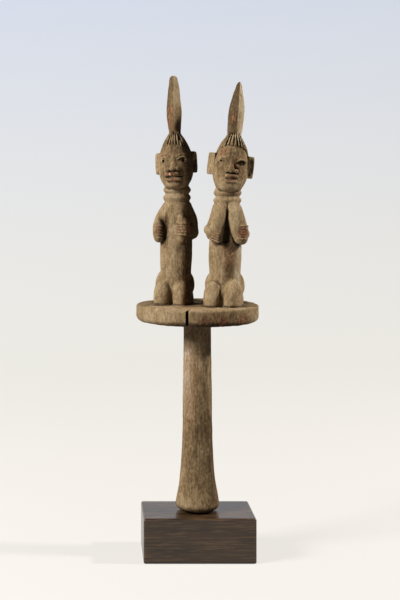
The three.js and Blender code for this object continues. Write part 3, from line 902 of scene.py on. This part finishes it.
# Knife marks and wear. Each has its depth in mm, and then its waves' size, seed and stretch.
knifeWork = {
    "count": 14,
    "lengths": (0.6, 1.7),  # the shortest and the longest wave, as a share of the size
    "peak": 1.6,  # brings the sum of the waves between -1 and 1, mostly
    "wide": (0.16, (9, 11, (1, 1, 2.2))),
    "fine": (0.07, (3.2, 12, (1, 1, 2.6))),
    "rim": (0.15, (12, 13, (1, 1, 1))),
    "rimRadii": (44, 52),
}


# Uneven surface: a sum of sine waves in random directions
def waver(points, size, seed, stretch):
    draws = np.random.default_rng(seed)
    count = knifeWork["count"]
    directions = draws.normal(size=(count, 3))
    directions = directions / np.linalg.norm(directions, axis=1, keepdims=True)
    lengths = size * draws.uniform(*knifeWork["lengths"], count)
    phases = draws.uniform(0, 2 * math.pi, count)
    waves = (points / np.array(stretch)) @ (directions * (2 * math.pi / lengths)[:, None]).T
    return np.sin(waves + phases).sum(axis=1) / math.sqrt(count / 2) / knifeWork["peak"]


# The skin is moved in and out along its normals by the waves, and more on the disc's rim
def roughen(mesh):
    points = cornersOf(mesh)
    normals = normalsOf(mesh)
    depth, wave = knifeWork["wide"]
    away = depth * waver(points, *wave)
    depth, wave = knifeWork["fine"]
    away = away + depth * waver(points, *wave)
    height = points[:, 2]
    onDisc = ease(height, disc["low"] - 1, disc["low"] + 1) * ease(height, disc["top"] + 2, disc["top"])
    onRim = onDisc * ease(np.hypot(points[:, 0], points[:, 1]), *knifeWork["rimRadii"])
    depth, wave = knifeWork["rim"]
    away = away + onRim * depth * waver(points, *wave)
    points = points + normals * away[:, None]
    mesh.vertices.foreach_set("co", (points * mm).astype(np.float32).ravel())
    mesh.update()


hollowAndEdgeReaches = (0.8, 1.6, 3.0)  # how far out and in the carved distances are read, mm


# How deep in a hollow each point lies, and how sharp an edge it is on. Out along the normal the distance
# grows as fast as the way gone, and in a hollow it falls short of it. It is the same inwards at an edge.
def hollowAndEdgeOf(points, normals):
    hollow = 0
    edge = 0
    for reach in hollowAndEdgeReaches:
        outside = woodAt(points + normals * reach)
        inside = woodAt(points - normals * reach)
        hollow = hollow + np.clip(1 - outside / reach, 0, 1) / len(hollowAndEdgeReaches)
        edge = edge + np.clip(1 + inside / reach, 0, 1) / len(hollowAndEdgeReaches)
    return hollow, edge


def noteOn(mesh, name, values):
    attribute = mesh.attributes.new(name, "FLOAT", "POINT")
    attribute.data.foreach_set("value", np.asarray(values, np.float32))


leftParts = framesOf(figures["left"])
rightParts = framesOf(figures["right"])

# A spot is a part's frame, a place in it, three radii and an amount. It is full within half its radii, and
# gone at 1.3 of them.
spotFade = (1.3, 0.5)


# Sum of the spots' amounts at each point
def spotMask(points, spots):
    mask = np.zeros(len(points))
    for part, place, radii, amount in spots:
        u, v, w = toPart(part, points[:, 0], points[:, 1], points[:, 2])
        away = np.sqrt(((u - place[0]) / radii[0]) ** 2 + ((v - place[1]) / radii[1]) ** 2
                       + ((w - place[2]) / radii[2]) ** 2)
        mask = mask + amount * ease(away, *spotFade)
    return mask


# Where the crust has rubbed through to red-brown wood: lips, brows, knuckles, chest and crests, and patches
# on the grip and the disc
rubbedSpots = [
    (leftParts["face"], (-1.5, -19, 119.6), (7, 4, 2.6), 1),
    (leftParts["face"], (-1, -18, 114.4), (6.5, 4, 2.2), 0.8),
    (leftParts["face"], (-9, -14.5, 137), (5, 5, 1.8), 0.5),
    (leftParts["head"], (-2.6, 0, 179), (2.4, 8, 4), 0.9),
    (leftParts["head"], (-2.8, 0, 169), (3, 8, 9), 0.6),
    (leftParts["head"], (0.4, -6, 157), (1.6, 6, 7), 0.5),
    (leftParts["chest"], (-14.5, -14, 68), (4, 4, 7), 0.6),
    (leftParts["chest"], (13, -14, 70), (4, 5, 7), 0.6),
    (leftParts["chest"], (5, -14, 70), (3.5, 5, 6), 0.45),
    (rightParts["face"], (-10, -14, 142), (4.5, 5, 5), 0.7),
    (rightParts["face"], (2, -16, 130), (2.4, 5, 11), 0.45),
    (rightParts["face"], (1, -18, 118), (6, 4, 4), 0.6),
    (rightParts["face"], (4, -15, 124), (9, 7, 9), 0.3),
    (rightParts["head"], (-1.6, 0, 173), (3, 9, 6), 0.7),
    (rightParts["head"], (3, 2, 176), (2, 9, 4), 0.6),
    (rightParts["chest"], (13, -15, 67.8), (5.5, 5, 8), 1),
    (rightParts["chest"], (-11, -15, 64), (6, 5, 7), 0.4),
    (rightParts["chest"], (2, -12, 46), (9, 5, 12), 0.35),
    (billetFrame, (-8, -9, 160), (9, 12, 40), 0.35),
    (billetFrame, (2, -56, 222), (7, 6, 6), 0.8),
    (billetFrame, (17, -53, 221), (7, 6, 5), 0.9),
    (billetFrame, (36, -43, 221), (7, 7, 5), 0.7),
    (billetFrame, (-4, -24, 230), (20, 14, 2), 0.3),
    (billetFrame, (-30, 47, 221), (9, 9, 5), 0.6),
    (billetFrame, (44, 34, 221), (9, 9, 5), 0.5),
]

# Crust tone runs from 0, dark brown, to 1, pale dust. These places are paler or darker than the rest: dust
# lies on the chests, and the faces, the right figure's belly, the right ears and the lower grip are darker.
# Painted shadow darkens the left figure's right side and the gaps by its arm and between the right figure's
# breasts. Painted light makes the grip's left paler, and painted shade darkens the grip's right, the foot's
# underside and the disc's lower front edge and right. The lips have a painted highlight, and the pupils
# painted shade.
plainTone = 0.57
pupilShade = -0.7
paleSpots = [
    # Painted shadow cast by the right figure on the left figure's right side, from the foot of its crest to
    # its legs
    (leftParts["head"], (5, 2, 168), (6, 12, 17), -0.4),
    (leftParts["chest"], (17, -4, 56), (12, 16, 70), -0.42),
    (leftParts["head"], (17, -4, 128), (11, 14, 24), -0.4),
    (leftParts["legs"], (17, -8, 6), (8, 18, 18), -0.3),
    (leftParts["head"], (0, -8, 143), (15, 12, 9), -0.24),
    (leftParts["face"], (0, -14, 124), (16, 10, 13), -0.17),
    # Painted highlight on the left figure's lips
    (leftParts["face"], (-2.4, -19.8, 119.6), (2.2, 3, 1.4), 0.45),
    (leftParts["face"], (-1, -19, 117.2), (7, 4, 5.4), 0.22),
    (rightParts["head"], (0, -10, 134), (17, 12, 18), -0.22),
    (rightParts["head"], (17.5, 0, 130), (5, 8, 10), -0.6),
    # Painted shade on the left figure's right ear
    (leftParts["head"], (17, 0, 130), (4, 8, 10), -0.3),
    (rightParts["face"], (8.6, -15, 132.4), (4.6, 3.6, 3), -0.2),
    (rightParts["chest"], (2.2, -13, 33), (5, 7, 12), -0.26),
    (rightParts["chest"], (1.5, -13, 47), (7, 7, 13), -0.12),
    (rightParts["chest"], (11, -8, 42), (5, 10, 26), 0.16),
    (rightParts["chest"], (6, -14, 82), (4, 6, 14), 0.12),
    # Painted shadow in the gap between the right figure's breasts
    (rightParts["chest"], (-1.4, -10, 68), (5, 6, 16), -0.5),
    (rightParts["chest"], (-3.4, -13, 42), (1.8, 4, 4), 0.3),
    # Painted shadow in the gap between the left figure's arm and body
    (leftParts["chest"], (-8, -9, 68), (3.4, 8, 16), -0.4),
    (leftParts["chest"], (-8, -12, 100), (9, 8, 8), 0.08),
    # Painted light on the grip's left
    (billetFrame, (-12, -4, 172), (9, 14, 34), 0.22),
    # Painted shade on the grip's right
    (billetFrame, (10, -6, 150), (12, 20, 60), -0.12),
    (billetFrame, (4, -8, 92), (22, 22, 50), -0.2),
    # Painted shade on the grip's right, low down
    (billetFrame, (18, -4, 70), (12, 22, 44), -0.16),
    # Painted shade under the foot of the grip, and along the disc's lower front edge and on its right
    (billetFrame, (0, 0, 42), (24, 24, 7), -0.6),
    (billetFrame, (0, -52, 215.5), (62, 22, 3.6), -0.3),
    (billetFrame, (30, -48, 220), (40, 18, 9), -0.26),
]

# The drilled pupils are darkened with painted shade
for parts, figure in ((leftParts, figures["left"]), (rightParts, figures["right"])):
    for eye in figure["eyes"]:
        u, v, high = eye["place"]
        shift, radius = eye["pupil"]
        paleSpots.append((parts["face"], (u + shift, v - 2, high), (radius, 4, radius), pupilShade))


# A crest's two flats differ in tone, and the change is at its ridge
def crestTone(points, part, figure):
    u, v, w = toPart(part, points[:, 0], points[:, 1], points[:, 2])
    ridge = np.interp(w, [row[0] for row in figure["ridge"]], [row[1] for row in figure["ridge"]])
    left, right = figure["crestTones"]
    onCrest = ease(w, *crest["toneHeights"]) * ease(np.abs(u), *crest["toneAcross"])
    return onCrest * (left + (right - left) * ease(u - ridge, -crest["toneEdge"], crest["toneEdge"]))


# The plain tone, changed by the spots and the crests' flats
def toneOf(points):
    tone = plainTone + spotMask(points, paleSpots)
    tone = tone + crestTone(points, leftParts["head"], figures["left"])
    return tone + crestTone(points, rightParts["head"], figures["right"])


roughen(staff.data)
skinPoints = cornersOf(staff.data)
hollow, edge = hollowAndEdgeOf(skinPoints, normalsOf(staff.data))
noteOn(staff.data, "hollow", hollow)
noteOn(staff.data, "edge", edge)
noteOn(staff.data, "rubbed", np.clip(spotMask(skinPoints, rubbedSpots), 0, 1))
noteOn(staff.data, "tone", np.clip(toneOf(skinPoints), 0, 1))

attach(staff, "root")
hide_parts("carved_staff")


# Shader building: makes a node with its settings and its inputs, by name or as i and a number
def nodeMaker(material):
    material.use_nodes = True
    tree = material.node_tree

    def make(kind, settings=None, **inputs):
        node = tree.nodes.new(kind)
        for key, value in (settings or {}).items():
            setattr(node, key, value)
        for key, value in inputs.items():
            numbered = key[0] == "i" and key[1:].isdigit()
            socket = node.inputs[int(key[1:]) if numbered else key.replace("_", " ")]
            if isinstance(value, bpy.types.NodeSocket):
                tree.links.new(value, socket)
            else:
                socket.default_value = value
        return node

    return make


# One colour where the part is 0 and the other where it is 1
def blended(make, part, low, high):
    return make("ShaderNodeMix", {"data_type": "RGBA"}, i0=part, i6=low, i7=high).outputs[2]


def mathOf(make, operation, first, second):
    return make("ShaderNodeMath", {"operation": operation}, i0=first, i1=second).outputs[0]


# A value taken smoothly from one range to another
def spread(make, value, low, high, start=0.0, end=1.0):
    return make("ShaderNodeMapRange", {"interpolation_type": "SMOOTHSTEP"},
                i0=value, i1=low, i2=high, i3=start, i4=end).outputs[0]


def noiseOf(make, where, scale, detail, rough, stretch):
    mapped = make("ShaderNodeMapping", None, Vector=where, Scale=stretch).outputs[0]
    noise = make("ShaderNodeTexNoise", None, Vector=mapped, Scale=scale, Detail=detail, Roughness=rough)
    return noise.outputs[0]


# Colours through stops of a place and a red, green and blue
def rampOf(make, value, stops):
    node = make("ShaderNodeValToRGB", None, Fac=value)
    elements = node.color_ramp.elements
    for place, colour in stops[1:-1]:
        elements.new(place)
    for element, (place, colour) in zip(elements, stops):
        element.position = place
        element.color = (*colour, 1)
    return node.outputs[0]


def attributeOf(make, name):
    return make("ShaderNodeAttribute", {"attribute_name": name}).outputs["Fac"]


# Crusted old wood: colour runs from dark brown to pale dust with the tone, broken up by patches, streaks and
# crumbs, each a noise of scale, detail, roughness and stretch. Hollows are dark with grime and painted
# shade, edges are a little paler from wear and a painted highlight, and rubbed places show the red-brown
# wood.
crust = {
    "stops": [(0, (0.05, 0.033, 0.019)), (0.3, (0.145, 0.095, 0.049)), (0.52, (0.285, 0.195, 0.102)),
              (0.75, (0.41, 0.31, 0.19)), (1, (0.58, 0.50, 0.385))],
    "bare": (0.335, 0.15, 0.073, 1),
    "bareDark": (0.10, 0.040, 0.022, 1),
    "barePaleAndHighlight": (0.80, 0.50, 0.34, 1),
    "grimeAndShade": (0.022, 0.016, 0.011, 1),
    "patches": (120, 4, 0.62, (1, 1, 0.6)),
    "patchTone": 0.11,
    "streaks": (600, 4, 0.6, (1, 1, 0.1)),
    "streakHeights": (0.19, 0.213),  # m, the streaks are stronger on the grip than above it
    "streakTones": (0.095, 0.05),
    "crumbs": (620, 5, 0.74, (1, 1, 0.55)),
    "crumbTone": 0.17,
    "edgeWearAndHighlight": 0.12,
    "grimeAndShadeMost": 0.92,
    "roughness": 0.82,
    "specular": 0.02,  # the crust is so dry that it has nearly no gloss
    "bump": 0.8,
    "bumpDepth": 0.0007,  # m
}


def carvedWoodMaterial():
    material = bpy.data.materials.new("carved_wood")
    make = nodeMaker(material)
    shader = material.node_tree.nodes["Principled BSDF"]
    links = material.node_tree.links
    where = make("ShaderNodeTexCoord").outputs["Object"]
    hollow = attributeOf(make, "hollow")
    edge = attributeOf(make, "edge")
    patches = noiseOf(make, where, *crust["patches"])
    streaks = noiseOf(make, where, *crust["streaks"])
    crumbs = noiseOf(make, where, *crust["crumbs"])
    height = make("ShaderNodeSeparateXYZ", None, Vector=where).outputs[2]
    streaky = spread(make, height, *crust["streakHeights"], *crust["streakTones"])
    patchTone = spread(make, patches, 0.28, 0.72, -crust["patchTone"], crust["patchTone"])
    crumbTone = spread(make, crumbs, 0.3, 0.7, -crust["crumbTone"], crust["crumbTone"])
    tone = mathOf(make, "ADD", attributeOf(make, "tone"), patchTone)
    grain = mathOf(make, "MULTIPLY", spread(make, streaks, 0.3, 0.7, -1, 1), streaky)
    tone = mathOf(make, "ADD", tone, grain)
    tone = mathOf(make, "ADD", tone, crumbTone)
    # Sharp edges are paler, partly from wear and partly as a painted highlight
    tone = mathOf(make, "ADD", tone, spread(make, edge, 0.25, 0.6, 0, crust["edgeWearAndHighlight"]))
    wood = rampOf(make, tone, crust["stops"])
    bare = blended(make, spread(make, crumbs, 0.42, 0.6), crust["bareDark"], crust["bare"])
    # Bare wood turns pale where the tone is highest, which also carries the painted highlight on the lips
    bare = blended(make, spread(make, tone, 0.85, 1.15), bare, crust["barePaleAndHighlight"])
    worn = mathOf(make, "MULTIPLY", attributeOf(make, "rubbed"), spread(make, patches, 0.3, 0.55, 0.45, 1))
    wood = blended(make, worn, wood, bare)
    # Hollows are darkened with grime and painted shade
    wood = blended(make, spread(make, hollow, 0.16, 0.6, 0, crust["grimeAndShadeMost"]), wood, crust["grimeAndShade"])
    links.new(wood, shader.inputs["Base Color"])
    shader.inputs["Roughness"].default_value = crust["roughness"]
    shader.inputs["Specular IOR Level"].default_value = crust["specular"]
    relief = mathOf(make, "ADD", mathOf(make, "MULTIPLY", streaks, 0.5), crumbs)
    bump = make("ShaderNodeBump", None, Strength=crust["bump"], Distance=crust["bumpDepth"], Height=relief)
    links.new(bump.outputs[0], shader.inputs["Normal"])
    return material


staff.data.materials.append(carvedWoodMaterial())
print("staff finished")

# Display block: a box with eased edges and a fine horizontal grain
blockShape = {
    "half": (50.65, 29, 20.35),
    "edge": 1.9,
    "steps": 90,
    "crowding": 1.6,
    "weld": 0.00001,  # m
}


# Each face is a grid of two parameters, crowded towards its edges. A point is pulled to the inner box and
# then set out from it by the edge radius.
def blockMesh():
    half = np.array(blockShape["half"])
    inner = half - blockShape["edge"]
    t = np.linspace(-1, 1, blockShape["steps"] + 1)
    t = np.sign(t) * (1 - (1 - np.abs(t)) ** blockShape["crowding"])
    a, b = np.meshgrid(t, t, indexing="ij")
    corners = []
    faces = []
    count = len(t)
    index = np.arange(count * count).reshape(count, count)
    ring = np.stack([index[:-1, :-1], index[1:, :-1], index[1:, 1:], index[:-1, 1:]], axis=-1).reshape(-1, 4)
    for axis in range(3):
        for side in (-1, 1):
            grid = np.empty((count, count, 3))
            grid[..., axis] = side * half[axis]
            grid[..., (axis + 1) % 3] = a * half[(axis + 1) % 3]
            grid[..., (axis + 2) % 3] = b * half[(axis + 2) % 3]
            core = np.clip(grid, -inner, inner)
            out = grid - core
            out = out / np.linalg.norm(out, axis=-1, keepdims=True)
            faces.append((ring if side > 0 else ring[:, ::-1]) + len(corners) * count * count)
            corners.append((core + out * blockShape["edge"]).reshape(-1, 3))
    corners = np.concatenate(corners) + (0, 0, half[2])
    return meshOf("base_block_wood", corners, np.concatenate(faces))


blockPiece = pieceOf("base_block_wood", blockMesh())
welding = blockPiece.modifiers.new("welding", "WELD")
welding.merge_threshold = blockShape["weld"]
applied(blockPiece)
blockPiece.data.shade_smooth()
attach(blockPiece, "root")
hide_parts("base_block")


# Dark stain over a fine grain that runs along the block: pores are near black, and thin lines are lighter.
# Each noise has its scale, detail, roughness and stretch.
stain = {
    "dark": (0.029, 0.0165, 0.0085, 1),
    "brown": (0.056, 0.030, 0.0145, 1),
    "line": (0.135, 0.078, 0.037, 1),
    "bands": (170, 5, 0.65, (0.09, 0.5, 1)),
    "lines": (900, 3, 0.6, (0.05, 0.4, 1)),
    "lineMost": 0.8,
    "roughness": 0.25,
    "specular": 0.44,
    "bump": 0.3,
    "bumpDepth": 0.0002,  # m
}


def stainedWoodMaterial():
    material = bpy.data.materials.new("stained_wood")
    make = nodeMaker(material)
    shader = material.node_tree.nodes["Principled BSDF"]
    links = material.node_tree.links
    where = make("ShaderNodeTexCoord").outputs["Object"]
    bands = noiseOf(make, where, *stain["bands"])
    lines = noiseOf(make, where, *stain["lines"])
    wood = blended(make, spread(make, bands, 0.35, 0.65), stain["dark"], stain["brown"])
    wood = blended(make, spread(make, lines, 0.45, 0.68, 0, stain["lineMost"]), wood, stain["line"])
    links.new(wood, shader.inputs["Base Color"])
    shader.inputs["Roughness"].default_value = stain["roughness"]
    shader.inputs["Specular IOR Level"].default_value = stain["specular"]
    bump = make("ShaderNodeBump", None, Strength=stain["bump"], Distance=stain["bumpDepth"], Height=lines)
    links.new(bump.outputs[0], shader.inputs["Normal"])
    return material


blockPiece.data.materials.append(stainedWoodMaterial())
print("block finished")

# Pale floor that sweeps up into a round backdrop. It is seen, but adds no light of its own to the staff.
backdrop = {
    "rings": (0.02, 0.4, 0.8),  # m, the floor's rings, the first one under the block
    "floorEnd": 1.2,
    "bend": 1.0,
    "bendSteps": 24,
    "top": 3.4,
    "sides": 96,
    "paper": (0.2, 0.195, 0.185, 1),
    "near": (0.70, 0.68, 0.645, 1),
    "far": (0.77, 0.755, 0.715, 1),
    "farFrom": (0.1, 1.3),  # m from the block, where it begins and is full
    "high": (0.60, 0.655, 0.775, 1),
    "highAt": 0.95,  # m, where the backdrop is bluest
    "warm": (0.3, 0.25, 0.1, 1),  # mixed in towards the right
    "warmMost": 0.07,
    "warmFrom": (-0.5, 0.9),
}


# The profile is the floor, a quarter circle and the wall, carried round the upright
def backdropMesh():
    turn = np.linspace(0, math.pi / 2, backdrop["bendSteps"])
    floorEnd = backdrop["floorEnd"]
    bend = backdrop["bend"]
    rings = backdrop["rings"]
    reach = np.concatenate([rings, floorEnd + bend * np.sin(turn), [floorEnd + bend]])
    height = np.concatenate([np.zeros(len(rings)), bend * (1 - np.cos(turn)), [backdrop["top"]]])
    angle = np.arange(backdrop["sides"]) * 2 * math.pi / backdrop["sides"]
    grid = np.stack([reach * np.cos(angle)[:, None], reach * np.sin(angle)[:, None],
                     np.broadcast_to(height, (len(angle), len(height)))], axis=-1)
    count = len(reach)
    a, b = np.meshgrid(np.arange(len(angle)), np.arange(count - 1), indexing="ij")
    nextA = (a + 1) % len(angle)
    faces = np.stack([a * count + b, a * count + b + 1, nextA * count + b + 1, nextA * count + b], axis=-1)
    return meshOf("floor_sweep", grid.reshape(-1, 3) / mm, faces.reshape(-1, 4)[:, ::-1])


floor = pieceOf("floor_sweep", backdropMesh())
floor.data.shade_smooth()
floor.visible_diffuse = False


# The paper's own glow goes from near to far, then bluer as it rises and warmer towards the right
def backdropMaterial():
    material = bpy.data.materials.new("pale_paper")
    make = nodeMaker(material)
    shader = material.node_tree.nodes["Principled BSDF"]
    links = material.node_tree.links
    where = make("ShaderNodeTexCoord").outputs["Object"]
    parted = make("ShaderNodeSeparateXYZ", None, Vector=where)
    distance = make("ShaderNodeVectorMath", {"operation": "LENGTH"}, i0=where).outputs["Value"]

    def share(value, low, high):
        return make("ShaderNodeMapRange", None, i0=value, i1=low, i2=high).outputs[0]

    glow = blended(make, share(distance, *backdrop["farFrom"]), backdrop["near"], backdrop["far"])
    glow = blended(make, share(parted.outputs[2], 0.0, backdrop["highAt"]), glow, backdrop["high"])
    warm = blended(make, backdrop["warmMost"], glow, backdrop["warm"])
    glow = blended(make, share(parted.outputs[0], *backdrop["warmFrom"]), glow, warm)
    shader.inputs["Base Color"].default_value = backdrop["paper"]
    shader.inputs["Roughness"].default_value = 1.0
    shader.inputs["Specular IOR Level"].default_value = 0.0
    links.new(glow, shader.inputs["Emission Color"])
    shader.inputs["Emission Strength"].default_value = 1.0
    return material


floor.data.materials.append(backdropMaterial())

# The key stands to the left and a little in front, a small hard light to the right, and the floor's glow
# comes from below. Lengths are in m, and azimuths in degrees from the front.
softBoxes = {
    "key": {"azimuth": -65, "reach": 1.2, "height": 0.888, "aim": 0.25, "size": 0.42, "power": 25,
            "colour": (1.0, 0.975, 0.94)},
    "side": {"azimuth": 85, "reach": 1.17, "height": 1.072, "aim": 0.25, "size": 0.11, "power": 20.5,
             "colour": (1.0, 0.965, 0.92)},
    "glow": {"azimuth": 0, "reach": 0, "height": 0.003, "aim": 0.5, "size": 2.2, "power": 4.6,
             "colour": (1.0, 0.97, 0.92)},
}


# Each box stands at its azimuth, to the right where it is above 0, and aims at a point on the upright
def addSoftBox(name, box):
    data = bpy.data.lights.new(name, "AREA")
    data.shape = "SQUARE"
    data.size = box["size"]
    data.energy = box["power"]
    data.color = box["colour"]
    light = bpy.data.objects.new(name, data)
    turn = box["azimuth"] * degree
    place = Vector((box["reach"] * math.sin(turn), -box["reach"] * math.cos(turn), box["height"]))
    light.location = place
    light.rotation_euler = (Vector((0, 0, box["aim"])) - place).to_track_quat("-Z", "Y").to_euler()
    light.visible_camera = False
    light.visible_glossy = name != "glow"
    bpy.context.collection.objects.link(light)


for name, box in softBoxes.items():
    addSoftBox(name, box)

# Faint cool light from all round
ambient = {
    "colour": (0.86, 0.96, 1.1, 1),
    "strength": 0.014,
}
world = bpy.data.worlds.new("world")
bpy.context.scene.world = world
world.use_nodes = True
sky = world.node_tree.nodes["Background"]
sky.inputs["Color"].default_value = ambient["colour"]
sky.inputs["Strength"].default_value = ambient["strength"]
bpy.context.scene.view_settings.view_transform = "Standard"
print("floor and lights set")
